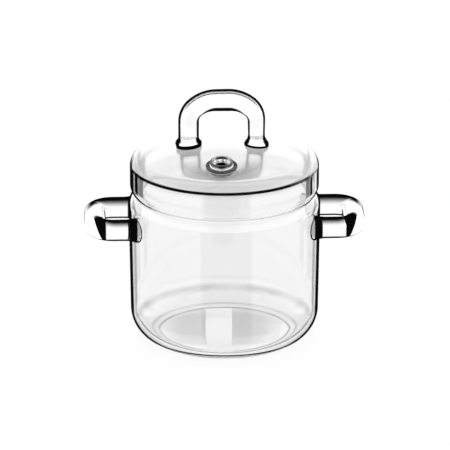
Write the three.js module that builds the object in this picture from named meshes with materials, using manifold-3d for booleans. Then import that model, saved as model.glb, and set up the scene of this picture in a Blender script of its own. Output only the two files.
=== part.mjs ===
// A clear glass cooking pot with two side loops and a lift-off glass lid.
// The lid drops over the pot's neck, has an arched glass handle and a riveted steel steam vent.
// Millimetres, +Z up. The origin is the centre of the underside; the side loops lie along X.
import * as THREE from "three";
import { mergeVertices } from "three/addons/utils/BufferGeometryUtils.js";
import Module from "manifold-3d";

// Pot
const BODY_RADIUS = 75.2; // at the shoulder, where the wall is widest
const BODY_TAPER = 1.5; // how much closer to the axis the wall starts from its lower bend
const BODY_HEIGHT = 110; // level of the shoulder's bend
const POT_WALL = 2.8;
const FLOOR_THICKNESS = 3.6;
const CORNER_RADIUS = 25; // outside bend between the wall and the floor
const SHOULDER_RADIUS = 11; // outside bend that draws the wall in towards the neck
const NECK_STEP = 7.4; // how much closer to the axis the neck's outside is than the widest wall
const NECK_FILLET = 1.6; // hollow bend between the shoulder and the neck
const NECK_HEIGHT = 18.4; // straight neck above its fillet

// Lid
const LID_WALL = 2.8;
const LID_CLEARANCE = 1; // between the neck and the inside of the skirt's hem
const SKIRT_SWELL = 2.4; // how far the skirt stands out beyond its hem
const HEM_HEIGHT = 6; // rounded lower stretch of the skirt
const SKIRT_HEIGHT = 14.6; // straight upper stretch of the skirt
const LID_SHOULDER = 10.8; // outside bend between the skirt and the dome
const DOME_HEIGHT = 17.4; // crown above the top of the straight skirt

// Side loops
const LOOP_ROD = 16.8; // rod diameter
const LOOP_SPAN = 53.5; // between the centre lines of a loop's two legs
const LOOP_STAND = 34.8; // from the widest wall to the outside of a loop
const LOOP_HEIGHT = 98.2; // centre line above the underside
const LOOP_BEND = 14; // centre-line bend radius
const LOOP_FOOT = 20; // diameter of the flared end on the wall
const LOOP_FLARE = 7; // length of the flare

// Lid handle
const ARCH_ROD = 15.4;
const ARCH_SPAN = 53; // between the centre lines of its legs
const ARCH_ASIDE = -1.5; // its middle beside the lid's axis, as fused by hand
const ARCH_HEIGHT = 44.8; // top of the rod above the lid's crown
const ARCH_TOP = 11; // straight stretch along the top
const ARCH_DROP = 17; // height of each rounded corner, on the centre line
const ARCH_FOOT = 20;
const ARCH_FLARE = 6.5;
const FOOT_EDGE = 1.5; // thickness of every flared foot's rim

// Steam vent
const VENT_INSET = 26; // behind the front of the lid's skirt
const VENT_ASIDE = -4.2; // beside the lid's axis
const VENT_HOLE = 7.8; // bore that lets steam out
const BARREL_WALL = 1;
const FLANGE_DIAMETER = 24.8;
const FLANGE_THICKNESS = 1.8;
const COLLAR_DIAMETER = 17.4;
const COLLAR_WALL = 1.2;
const COLLAR_HEIGHT = 3.6; // above the flange
const GASKET_DIAMETER = 23;
const GASKET_THICKNESS = 0.9;
const WASHER_DIAMETER = 18;
const WASHER_THICKNESS = 1;
const RIVET_ROLL = 1.3; // how far the barrel's end is turned out under the washer
const RIVET_THICKNESS = 0.9;

// Clearances
const SEAT_GAP = 0.3; // under the lid's hem where it stands on the pot's shoulder
const FUSE_GAP = 0.3; // between a handle's feet and the glass that they are fused to
const VENT_GAP = 0.3; // between the lid and the vent's gaskets
const STACK_GAP = 0.1; // between the vent's own layers
const BARREL_CLEARANCE = 0.4; // around the barrel, in the lid and in the rings on it

// Facets
const TURN_STEPS = 48; // around the pot and the lid
const RING_STEPS = 24; // around the vent
const ROD_SIDES = 16;
const ROD_STEPS = 26; // along a handle's rod
const BEND_STEPS = 5; // along a round bend of a profile
const SMALL_BEND_STEPS = 3;
const DOME_STEPS = 5;

const wasm = await Module();
wasm.setup();

const glass = new THREE.MeshStandardMaterial({
  color: 0xf2f5f4,
  roughness: 0.04,
  metalness: 0,
  transparent: true,
  opacity: 0.35,
});
const steel = new THREE.MeshStandardMaterial({ color: 0xc4c6c8, roughness: 0.24, metalness: 1 });
const silicone = new THREE.MeshStandardMaterial({ color: 0xdcdddb, roughness: 0.55, metalness: 0 });

// Points of an arc in a profile, from one angle to another, in degrees.
function bend(centre, radius, from, to, steps = BEND_STEPS) {
  const points = [];
  for (let i = 0; i <= steps; i++) {
    const angle = THREE.MathUtils.degToRad(from + ((to - from) * i) / steps);
    points.push(new THREE.Vector2(centre.x + radius * Math.cos(angle), centre.y + radius * Math.sin(angle)));
  }
  return points;
}

function degrees(radians) {
  return THREE.MathUtils.radToDeg(radians);
}

// The direction from one profile point to another, in degrees.
function heading(from, to) {
  return degrees(Math.atan2(to.y - from.y, to.x - from.x));
}

// A profile of radius and height turned about the Z axis.
function turned(profile, steps) {
  return new THREE.LatheGeometry(profile, steps).rotateX(Math.PI / 2);
}

// A closed geometry as a solid that can be joined and cut.
function solidOf(geometry) {
  const bare = geometry.clone();
  bare.deleteAttribute("normal");
  bare.deleteAttribute("uv");
  const merged = mergeVertices(bare);
  return new wasm.Manifold(
    new wasm.Mesh({
      numProp: 3,
      vertProperties: new Float32Array(merged.attributes.position.array),
      triVerts: new Uint32Array(merged.index.array),
    }),
  );
}

// A solid's surface as a geometry again.
function geometryOf(solid) {
  const mesh = solid.getMesh();
  const geometry = new THREE.BufferGeometry();
  geometry.setAttribute("position", new THREE.BufferAttribute(new Float32Array(mesh.vertProperties), 3));
  geometry.setIndex(new THREE.BufferAttribute(new Uint32Array(mesh.triVerts), 1));
  geometry.computeVertexNormals();
  return geometry;
}

function named(name, geometry, material) {
  const mesh = new THREE.Mesh(geometry, material);
  mesh.name = name;
  return mesh;
}

// Pot: a turned wall, one thickness from the corner to the rim.
const cornerCentre = new THREE.Vector2(BODY_RADIUS - BODY_TAPER - CORNER_RADIUS, CORNER_RADIUS);
const shoulderCentre = new THREE.Vector2(BODY_RADIUS - SHOULDER_RADIUS, BODY_HEIGHT);
const neckRadius = BODY_RADIUS - NECK_STEP;
const filletRadius = neckRadius + NECK_FILLET;
const filletRise = Math.sqrt((SHOULDER_RADIUS + NECK_FILLET) ** 2 - (filletRadius - shoulderCentre.x) ** 2);
const filletCentre = new THREE.Vector2(filletRadius, BODY_HEIGHT + filletRise);
const rimCentre = new THREE.Vector2(neckRadius - POT_WALL / 2, filletCentre.y + NECK_HEIGHT);

// One face of the wall from the floor to the neck, a depth in from the outside.
// The straight stretch touches the corner's bend and the shoulder's bend.
function wallFace(corner, depth) {
  const span = corner.distanceTo(shoulderCentre);
  const lean = heading(corner, shoulderCentre) - degrees(Math.acos((CORNER_RADIUS - SHOULDER_RADIUS) / span));
  const turnIn = heading(shoulderCentre, filletCentre);
  return [
    ...bend(corner, CORNER_RADIUS - depth, -90, lean),
    ...bend(shoulderCentre, SHOULDER_RADIUS - depth, lean, turnIn),
    ...bend(filletCentre, NECK_FILLET + depth, turnIn + 180, 180, SMALL_BEND_STEPS).slice(1),
  ];
}

function potProfile() {
  const innerCorner = new THREE.Vector2(cornerCentre.x, FLOOR_THICKNESS + CORNER_RADIUS - POT_WALL);
  return [
    new THREE.Vector2(0, 0),
    ...wallFace(cornerCentre, 0),
    ...bend(rimCentre, POT_WALL / 2, 0, 180, SMALL_BEND_STEPS + 1),
    ...wallFace(innerCorner, POT_WALL).reverse(),
    new THREE.Vector2(0, FLOOR_THICKNESS),
  ];
}

// Everything inside the pot's outer face moved out by a margin, for fitting the loops' feet.
function potEnvelope(margin) {
  const face = wallFace(cornerCentre, -margin);
  const top = face[face.length - 1].y;
  return [new THREE.Vector2(0, face[0].y), ...face, new THREE.Vector2(0, top)];
}

// Lid: its rounded hem stands on the pot's shoulder, just outside the neck.
const hemRadius = LID_WALL / 2;
const hemMiddle = neckRadius + LID_CLEARANCE + hemRadius;
const hemReach = SHOULDER_RADIUS + hemRadius + SEAT_GAP;
const hemRise = Math.sqrt(hemReach ** 2 - (hemMiddle - shoulderCentre.x) ** 2);
const hemCentre = new THREE.Vector2(hemMiddle, BODY_HEIGHT + hemRise);
// The hem's rounded end is the start of an arc through the middle of the skirt's wall.
const middleArc = (HEM_HEIGHT ** 2 + SKIRT_SWELL ** 2) / (2 * SKIRT_SWELL);
const swellCentre = new THREE.Vector2(hemMiddle + SKIRT_SWELL - middleArc, hemCentre.y + HEM_HEIGHT);
const swellTurn = -heading(swellCentre, hemCentre);
const swellRadius = middleArc + hemRadius;
const lidRadius = hemMiddle + SKIRT_SWELL + hemRadius;
const lidShoulder = new THREE.Vector2(lidRadius - LID_SHOULDER, swellCentre.y + SKIRT_HEIGHT);
const crownHeight = lidShoulder.y + DOME_HEIGHT;
// The dome is the sphere that runs on smoothly from the shoulder's bend.
const domeRadius =
  (lidShoulder.x ** 2 + DOME_HEIGHT ** 2 - LID_SHOULDER ** 2) / (2 * (DOME_HEIGHT - LID_SHOULDER));
const domeCentre = new THREE.Vector2(0, crownHeight - domeRadius);
const domeStart = heading(domeCentre, lidShoulder);

// The lid's face from the hem to the crown, a depth in from the outside.
function lidFace(depth) {
  return [
    ...bend(swellCentre, swellRadius - depth, -swellTurn, 0, SMALL_BEND_STEPS),
    ...bend(lidShoulder, LID_SHOULDER - depth, 0, domeStart),
    ...bend(domeCentre, domeRadius - depth, domeStart, 90, DOME_STEPS).slice(1),
  ];
}

// The skirt's two faces lean in at the hem, so its rounded end leans with them.
function lidProfile() {
  const hem = bend(hemCentre, hemRadius, 180 - swellTurn, 360 - swellTurn, SMALL_BEND_STEPS + 1);
  return [...lidFace(LID_WALL).reverse(), ...hem.slice(1, -1), ...lidFace(0)];
}

// Everything inside the lid's outer face moved out by a margin, for fitting the handle's feet.
function lidEnvelope(margin) {
  const face = lidFace(-margin);
  return [new THREE.Vector2(0, face[0].y), ...face];
}

// A round rod along a path.
function rod(path, diameter) {
  const section = new THREE.Shape();
  for (let i = 0; i < ROD_SIDES; i++) {
    const angle = (2 * Math.PI * i) / ROD_SIDES;
    const x = (diameter / 2) * Math.cos(angle);
    const y = (diameter / 2) * Math.sin(angle);
    if (i === 0) section.moveTo(x, y);
    else section.lineTo(x, y);
  }
  section.closePath();
  return new THREE.ExtrudeGeometry(section, { steps: ROD_STEPS, bevelEnabled: false, extrudePath: path });
}

// A rod's flared end about Z: its sole reaches a depth below the origin, the rod leaves upwards.
function flaredFoot(rodDiameter, footDiameter, flare, depth) {
  const spread = (footDiameter - rodDiameter) / 2;
  const points = [new THREE.Vector2(0, -depth), new THREE.Vector2(footDiameter / 2, -depth)];
  for (const point of bend(new THREE.Vector2(0, 0), 1, 0, 90)) {
    const x = footDiameter / 2 - spread * point.y;
    const y = flare - (flare - FOOT_EDGE) * point.x;
    points.push(new THREE.Vector2(x, y));
  }
  points.push(new THREE.Vector2(0, flare));
  return turned(points, ROD_SIDES);
}

// A quarter of a circle or ellipse that leaves one straight stretch for the next.
function roundedCorner(from, corner, to) {
  const pull = 0.5523; // puts a cubic curve's handles where they follow an ellipse
  const leaving = from.clone().lerp(corner, pull);
  const arriving = to.clone().lerp(corner, pull);
  return new THREE.CubicBezierCurve3(from, leaving, arriving, to);
}

// Straight stretches through four points, with the two corners between them rounded off.
function hoop(start, corners, end) {
  const path = new THREE.CurvePath();
  let from = start;
  for (const { before, corner, after } of corners) {
    path.add(new THREE.LineCurve3(from, before));
    path.add(roundedCorner(before, corner, after));
    from = after;
  }
  path.add(new THREE.LineCurve3(from, end));
  return path;
}

// One side loop on +X: two legs out of the wall and a bar across, all level.
function sideLoop() {
  const bar = BODY_RADIUS + LOOP_STAND - LOOP_ROD / 2;
  const leg = LOOP_SPAN / 2;
  const wallAt = Math.sqrt((BODY_RADIUS - BODY_TAPER) ** 2 - leg ** 2);
  const rootAt = wallAt - LOOP_FOOT / 2; // inside the wall, trimmed off below
  const at = (x, y) => new THREE.Vector3(x, y, LOOP_HEIGHT);
  const bends = [
    { before: at(bar - LOOP_BEND, -leg), corner: at(bar, -leg), after: at(bar, LOOP_BEND - leg) },
    { before: at(bar, leg - LOOP_BEND), corner: at(bar, leg), after: at(bar - LOOP_BEND, leg) },
  ];
  let solid = solidOf(rod(hoop(at(rootAt, -leg), bends, at(rootAt, leg)), LOOP_ROD));
  for (const side of [-1, 1]) {
    const foot = flaredFoot(LOOP_ROD, LOOP_FOOT, LOOP_FLARE, LOOP_FOOT);
    foot.rotateY(Math.PI / 2).translate(wallAt, side * leg, LOOP_HEIGHT);
    solid = solid.add(solidOf(foot));
  }
  return solid.subtract(solidOf(turned(potEnvelope(FUSE_GAP), TURN_STEPS)));
}

// The lid's arched handle: two upright legs, rounded corners and a short level top.
function lidArch() {
  const bar = crownHeight + ARCH_HEIGHT - ARCH_ROD / 2;
  const leg = ARCH_SPAN / 2;
  const top = ARCH_TOP / 2;
  const spring = bar - ARCH_DROP; // where the legs start to bend
  const domeAt = domeCentre.y + Math.sqrt(domeRadius ** 2 - leg ** 2);
  const rootAt = domeAt - LID_WALL;
  const at = (x, z) => new THREE.Vector3(ARCH_ASIDE + x, 0, z);
  const bends = [
    { before: at(-leg, spring), corner: at(-leg, bar), after: at(-top, bar) },
    { before: at(top, bar), corner: at(leg, bar), after: at(leg, spring) },
  ];
  let solid = solidOf(rod(hoop(at(-leg, rootAt), bends, at(leg, rootAt)), ARCH_ROD));
  for (const side of [-1, 1]) {
    const foot = flaredFoot(ARCH_ROD, ARCH_FOOT, ARCH_FLARE, LID_WALL);
    foot.translate(ARCH_ASIDE + side * leg, 0, domeAt);
    solid = solid.add(solidOf(foot));
  }
  return solid.subtract(solidOf(turned(lidEnvelope(FUSE_GAP), TURN_STEPS)));
}

// A flat ring about Z between two heights.
function ring(inner, outer, low, high) {
  return turned(
    [
      new THREE.Vector2(inner, low),
      new THREE.Vector2(outer, low),
      new THREE.Vector2(outer, high),
      new THREE.Vector2(inner, high),
      new THREE.Vector2(inner, low),
    ],
    RING_STEPS,
  );
}

// Steam vent: an eyelet through the lid, a gasket on each face and a washer under its rolled end.
const ventForward = lidRadius - VENT_INSET;
const ventRest = Math.hypot(VENT_ASIDE, ventForward);
const ventPlace = new THREE.Vector3(
  VENT_ASIDE,
  -ventForward,
  domeCentre.y + Math.sqrt(domeRadius ** 2 - ventRest ** 2),
);
const ventAxis = ventPlace.clone().sub(new THREE.Vector3(0, 0, domeCentre.y)).normalize();
const boreRadius = VENT_HOLE / 2;
const barrelRadius = boreRadius + BARREL_WALL;
const ringBore = barrelRadius + BARREL_CLEARANCE;
const topGasketLow = VENT_GAP;
const flangeLow = topGasketLow + GASKET_THICKNESS + STACK_GAP;
const flangeTop = flangeLow + FLANGE_THICKNESS;
const lowGasketTop = -LID_WALL - VENT_GAP;
const washerTop = lowGasketTop - GASKET_THICKNESS - STACK_GAP;
const rivetTop = washerTop - WASHER_THICKNESS - STACK_GAP;
const rivetLow = rivetTop - RIVET_THICKNESS;

function eyeletProfile() {
  const flange = FLANGE_DIAMETER / 2;
  const collar = COLLAR_DIAMETER / 2;
  const cup = collar - COLLAR_WALL;
  const roll = barrelRadius + RIVET_ROLL;
  return [
    new THREE.Vector2(boreRadius, rivetLow),
    new THREE.Vector2(roll, rivetLow),
    new THREE.Vector2(roll, rivetTop),
    new THREE.Vector2(barrelRadius, rivetTop),
    new THREE.Vector2(barrelRadius, flangeLow),
    new THREE.Vector2(flange, flangeLow),
    new THREE.Vector2(flange, flangeTop),
    new THREE.Vector2(collar, flangeTop),
    new THREE.Vector2(collar, flangeTop + COLLAR_HEIGHT),
    new THREE.Vector2(cup, flangeTop + COLLAR_HEIGHT),
    new THREE.Vector2(cup, flangeTop),
    new THREE.Vector2(boreRadius, flangeTop),
    new THREE.Vector2(boreRadius, rivetLow),
  ];
}

// Turns a group's +Z to the vent's axis and sets it on the dome.
function onVentAxis(object) {
  object.position.copy(ventPlace);
  object.quaternion.setFromUnitVectors(new THREE.Vector3(0, 0, 1), ventAxis);
  object.updateMatrix();
  return object;
}

function lidShell() {
  const clear = LID_WALL * 2;
  const drill = new THREE.CylinderGeometry(ringBore, ringBore, LID_WALL + 2 * clear, RING_STEPS);
  drill.rotateX(Math.PI / 2).translate(0, 0, -LID_WALL / 2);
  drill.applyMatrix4(onVentAxis(new THREE.Object3D()).matrix);
  return solidOf(turned(lidProfile(), TURN_STEPS)).subtract(solidOf(drill));
}

const pot = new THREE.Group();
const loop = geometryOf(sideLoop());
const leftHandle = named("left_handle", loop.clone(), glass);
leftHandle.rotation.z = Math.PI;
pot.add(named("pot_body", turned(potProfile(), TURN_STEPS), glass));
pot.add(named("right_handle", loop, glass));
pot.add(leftHandle);

const vent = onVentAxis(new THREE.Group());
const gasket = GASKET_DIAMETER / 2;
const washer = WASHER_DIAMETER / 2;
const topGasket = ring(ringBore, gasket, topGasketLow, topGasketLow + GASKET_THICKNESS);
const lowGasket = ring(ringBore, washer, lowGasketTop - GASKET_THICKNESS, lowGasketTop);
const backing = ring(ringBore, washer, washerTop - WASHER_THICKNESS, washerTop);
vent.add(named("vent_eyelet", turned(eyeletProfile(), RING_STEPS), steel));
vent.add(named("vent_gasket_top", topGasket, silicone));
vent.add(named("vent_gasket_bottom", lowGasket, silicone));
vent.add(named("vent_washer", backing, steel));

const lid = new THREE.Group();
lid.add(named("lid_shell", geometryOf(lidShell()), glass));
lid.add(named("lid_handle", geometryOf(lidArch()), glass));
lid.add(vent);

const saucepan = new THREE.Group();
saucepan.add(pot, lid);

export default saucepan;
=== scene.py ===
"""The look of a clear glass cooking pot: fused glass, a turned steel steam vent and its silicone gaskets."""
import logging
import math
from dataclasses import dataclass, field
from enum import Enum

import bpy
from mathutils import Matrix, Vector


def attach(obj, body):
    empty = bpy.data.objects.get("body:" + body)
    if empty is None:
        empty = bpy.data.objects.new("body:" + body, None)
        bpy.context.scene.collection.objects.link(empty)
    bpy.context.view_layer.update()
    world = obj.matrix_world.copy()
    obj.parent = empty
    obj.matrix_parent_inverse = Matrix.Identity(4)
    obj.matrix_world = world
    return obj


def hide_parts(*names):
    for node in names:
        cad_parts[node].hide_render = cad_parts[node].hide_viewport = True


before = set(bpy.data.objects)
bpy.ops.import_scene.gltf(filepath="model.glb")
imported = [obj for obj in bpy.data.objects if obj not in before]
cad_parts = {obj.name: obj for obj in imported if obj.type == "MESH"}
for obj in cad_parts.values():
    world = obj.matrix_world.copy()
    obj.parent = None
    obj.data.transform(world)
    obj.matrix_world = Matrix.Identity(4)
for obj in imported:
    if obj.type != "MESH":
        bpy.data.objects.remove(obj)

logging.basicConfig(level=logging.INFO, format="%(message)s")
log = logging.getLogger("saucepan")

MM = 0.001
TINY = 1e-9
WHITE = (1, 1, 1, 1)
Point = tuple[float, float]
Triple = tuple[float, float, float]
Quad = tuple[float, float, float, float]


class Body(Enum):
    """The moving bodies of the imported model."""

    POT = "pot"
    LID = "lid"


class Slot(Enum):
    """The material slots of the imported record."""

    GLASS = "glass"
    STEEL = "steel"
    SILICONE = "silicone"


class Axis(Enum):
    """The axis that a rod's path bends about."""

    Y = "Y"
    Z = "Z"


# Modelling with operators

def arc(centre: Point, radius: float, start: float, end: float, steps: int) -> list[Point]:
    """Points along an arc of a profile.

    Args:
        centre: Radius and height of the arc's centre, in millimetres.
        radius: Radius of the arc.
        start: First angle, in degrees.
        end: Last angle, in degrees.
        steps: Number of chords.

    Returns:
        The points, both ends included.
    """
    points = []
    for i in range(steps + 1):
        angle = math.radians(start + (end - start) * i / steps)
        points.append((centre[0] + radius * math.cos(angle), centre[1] + radius * math.sin(angle)))
    return points


def along(start: Point, end: Point, steps: int) -> list[Point]:
    """Points between two profile points, neither end included."""
    return [
        (start[0] + (end[0] - start[0]) * i / steps, start[1] + (end[1] - start[1]) * i / steps)
        for i in range(1, steps)
    ]


@dataclass(frozen=True)
class Station:
    """One place of a rod's round section: centre and radius in millimetres, heading in radians."""

    centre: Vector
    heading: float
    radius: float


@dataclass
class RodPath:
    """A path of straight stretches and round bends, with a thickness that may change along it.

    The heading turns from +Z to +X about Y, or from +X to +Y about Z.
    """

    axis: Axis
    centre: Vector
    heading: float
    radius: float
    stations: list[Station] = field(default_factory=list)

    def __post_init__(self) -> None:
        """Puts the first section at the start of the path."""
        self.mark()

    def mark(self) -> None:
        """Adds a section where the path has come to."""
        self.stations.append(Station(self.centre.copy(), self.heading, self.radius))

    def ahead(self) -> Vector:
        """The direction that the path goes in.

        Returns:
            A vector of length 1.
        """
        if self.axis is Axis.Y:
            return Vector((math.sin(self.heading), 0, math.cos(self.heading)))
        return Vector((math.cos(self.heading), math.sin(self.heading), 0))

    def straight(self, length: float, steps: int, radius: float | None = None) -> None:
        """Goes straight on.

        Args:
            length: How far, in millimetres.
            steps: Number of sections.
            radius: Radius at the end, where it changes.
        """
        start = self.radius
        end = start if radius is None else radius
        for i in range(1, steps + 1):
            self.centre = self.centre + self.ahead() * (length / steps)
            self.radius = start + (end - start) * i / steps
            self.mark()

    def bend(self, radius: float, degrees: float, steps: int, rod: float | None = None) -> None:
        """Goes round a bend.

        Args:
            radius: Bend radius of the centre line.
            degrees: Angle of the bend.
            steps: Number of sections.
            rod: Radius of the rod at the end, where it changes.
        """
        turn = math.radians(degrees) / steps
        chord = 2 * radius * math.sin(turn / 2)
        start = self.radius
        end = start if rod is None else rod
        for i in range(1, steps + 1):
            self.heading += turn / 2
            self.centre = self.centre + self.ahead() * chord
            self.heading += turn / 2
            self.radius = start + (end - start) * i / steps
            self.mark()

    def foot(self, profile: list[Point]) -> None:
        """Goes through the sections of a flared foot.

        Args:
            profile: Distance along the path from here and radius of each section.
        """
        origin = self.centre.copy()
        for distance, radius in profile:
            self.centre = origin + self.ahead() * distance
            self.radius = radius
            self.mark()


class Workbench:
    """Mesh modelling with operators on one active object."""

    @staticmethod
    def clear() -> None:
        """Leaves edit mode and deselects everything."""
        if bpy.context.object is not None and bpy.context.object.mode != "OBJECT":
            bpy.ops.object.mode_set(mode="OBJECT")
        bpy.ops.object.select_all(action="DESELECT")

    @classmethod
    def pick(cls, piece: bpy.types.Object) -> None:
        """Selects one piece alone and makes it active.

        Args:
            piece: Object that the next operators act on.
        """
        cls.clear()
        piece.select_set(True)
        bpy.context.view_layer.objects.active = piece

    @staticmethod
    def edit() -> None:
        """Goes into edit mode with all vertices selected."""
        bpy.ops.object.mode_set(mode="EDIT")
        bpy.ops.mesh.select_mode(type="VERT")
        bpy.ops.mesh.select_all(action="SELECT")

    @staticmethod
    def close(merge: float = 1e-7) -> bpy.types.Object:
        """Merges doubles, turns the normals outwards and leaves edit mode.

        Args:
            merge: Distance below which vertices become one, in metres.

        Returns:
            The finished object.
        """
        bpy.ops.mesh.select_all(action="SELECT")
        bpy.ops.mesh.remove_doubles(threshold=merge)
        bpy.ops.mesh.normals_make_consistent(inside=False)
        bpy.ops.object.mode_set(mode="OBJECT")
        return bpy.context.object

    @classmethod
    def turned(cls, name: str, profile: list[Point], steps: int) -> bpy.types.Object:
        """Spins a profile about Z.

        Args:
            name: Name of the new object.
            profile: Radius and height of each point, in millimetres.
            steps: Segments around the axis.

        Returns:
            The turned object.
        """
        cls.clear()
        bpy.ops.mesh.primitive_plane_add(size=MM)
        bpy.context.object.name = name
        cls.edit()
        bpy.ops.mesh.merge(type="CENTER")
        here = Vector((0, 0, 0))
        for index, (radius, height) in enumerate(profile):
            there = Vector((radius * MM, 0, height * MM))
            if index == 0:
                bpy.ops.transform.translate(value=there - here)
            else:
                bpy.ops.mesh.extrude_region_move(TRANSFORM_OT_translate={"value": there - here})
            here = there
        bpy.ops.mesh.select_all(action="SELECT")
        bpy.ops.mesh.spin(steps=steps, angle=2 * math.pi, center=(0, 0, 0), axis=(0, 0, 1))
        return cls.close(merge=1e-6)

    @classmethod
    def swept(cls, name: str, path: RodPath, sides: int) -> bpy.types.Object:
        """Carries a round section along a level or upright path.

        Args:
            name: Name of the new object.
            path: Path with the places of the section.
            sides: Vertices around the section.

        Returns:
            The closed rod.
        """
        cls.clear()
        first = path.stations[0]
        tilt = (0, first.heading, 0) if path.axis is Axis.Y else (0, math.pi / 2, first.heading)
        bpy.ops.mesh.primitive_circle_add(
            vertices=sides, radius=first.radius * MM, fill_type="NGON",
            location=first.centre * MM, rotation=tilt,
        )
        bpy.context.object.name = name
        bpy.ops.object.transform_apply(location=True, rotation=True, scale=True)
        cls.edit()
        for last, station in zip(path.stations, path.stations[1:]):
            at = station.centre * MM
            step = at - last.centre * MM
            turn = last.heading - station.heading
            bpy.ops.mesh.extrude_region_move(TRANSFORM_OT_translate={"value": step})
            if abs(turn) > TINY:
                bpy.ops.transform.rotate(value=turn, orient_axis=path.axis.value, center_override=at)
            if abs(station.radius - last.radius) > TINY:
                ratio = station.radius / last.radius
                bpy.ops.transform.resize(value=(ratio, ratio, ratio), center_override=at)
        return cls.close()

    @classmethod
    def trimmed(cls, piece: bpy.types.Object, cutter: bpy.types.Object) -> bpy.types.Object:
        """Cuts one object away from another and removes the cutter.

        Args:
            piece: Object that is cut.
            cutter: Closed object that is taken away.

        Returns:
            The cut piece.
        """
        cls.pick(piece)
        cut = piece.modifiers.new("trim", "BOOLEAN")
        cut.operation = "DIFFERENCE"
        cut.solver = "EXACT"
        cut.object = cutter
        bpy.ops.object.modifier_apply(modifier=cut.name)
        bpy.data.objects.remove(cutter, do_unlink=True)
        return piece

    @classmethod
    def copied(cls, piece: bpy.types.Object, name: str) -> bpy.types.Object:
        """Copies a piece.

        Args:
            piece: Object to copy.
            name: Name of the copy.

        Returns:
            The copy, with its own mesh.
        """
        cls.pick(piece)
        bpy.ops.object.duplicate(linked=False)
        bpy.context.object.name = name
        return bpy.context.object

    @classmethod
    def laid(cls, piece: bpy.types.Object, place: Vector, turn: Triple) -> bpy.types.Object:
        """Turns and moves a piece, and applies both to its mesh.

        Args:
            piece: Object at the origin.
            place: Where its origin goes, in metres.
            turn: Euler angles, in radians.

        Returns:
            The same piece, back at the origin with its place in its mesh.
        """
        cls.pick(piece)
        piece.location = place
        piece.rotation_euler = turn
        bpy.ops.object.transform_apply(location=True, rotation=True, scale=True)
        return piece

    @classmethod
    def smooth(cls, piece: bpy.types.Object, degrees: float) -> bpy.types.Object:
        """Shades a piece smooth.

        Args:
            piece: Object to shade.
            degrees: Angle above which an edge stays sharp.

        Returns:
            The same piece.
        """
        cls.pick(piece)
        bpy.ops.object.shade_smooth_by_angle(angle=math.radians(degrees))
        return piece


# Node graphs

class Value:
    """A node's output with the usual arithmetic, where * keeps what two masks share and | joins them."""

    def __init__(self, graph: "Graph", socket: bpy.types.NodeSocket) -> None:
        """Wraps an output of one of a graph's nodes."""
        self.graph = graph
        self.socket = socket

    def __add__(self, other: "Value | float") -> "Value":
        """The sum."""
        return self.graph.maths("ADD", self, other)

    def __sub__(self, other: "Value | float") -> "Value":
        """The difference."""
        return self.graph.maths("SUBTRACT", self, other)

    def __rsub__(self, other: float) -> "Value":
        """The difference from a number."""
        return self.graph.maths("SUBTRACT", other, self)

    def __mul__(self, other: "Value | float") -> "Value":
        """The product."""
        return self.graph.maths("MULTIPLY", self, other)

    def __truediv__(self, other: "Value | float") -> "Value":
        """The quotient."""
        return self.graph.maths("DIVIDE", self, other)

    def __pow__(self, power: float) -> "Value":
        """The power."""
        return self.graph.maths("POWER", self, power)

    def __or__(self, other: "Value | float") -> "Value":
        """The larger of the two."""
        return self.graph.maths("MAXIMUM", self, other)

    def __abs__(self) -> "Value":
        """The size without the sign."""
        return self.graph.maths("ABSOLUTE", self)

    def root(self) -> "Value":
        """The square root."""
        return self.graph.maths("SQRT", self)

    def ramp(
        self, low: float, high: float, start: float = 0.0, end: float = 1.0, smooth: bool = True
    ) -> "Value":
        """Maps a range of the value.

        Args:
            low: Value that gives start.
            high: Value that gives end.
            start: Result at low.
            end: Result at high.
            smooth: Whether the change eases in and out.

        Returns:
            The mapped value.
        """
        limits = {"Value": self, "From Min": low, "From Max": high, "To Min": start, "To Max": end}
        kind = "SMOOTHSTEP" if smooth else "LINEAR"
        return self.graph.value("ShaderNodeMapRange", "Result", limits, interpolation_type=kind)

    def over(
        self, low: float, high: float, start: float = 0.0, end: float = 1.0, smooth: bool = True
    ) -> "Value":
        """The ramp of a length, with low and high in millimetres."""
        return self.ramp(low * MM, high * MM, start, end, smooth)


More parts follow.
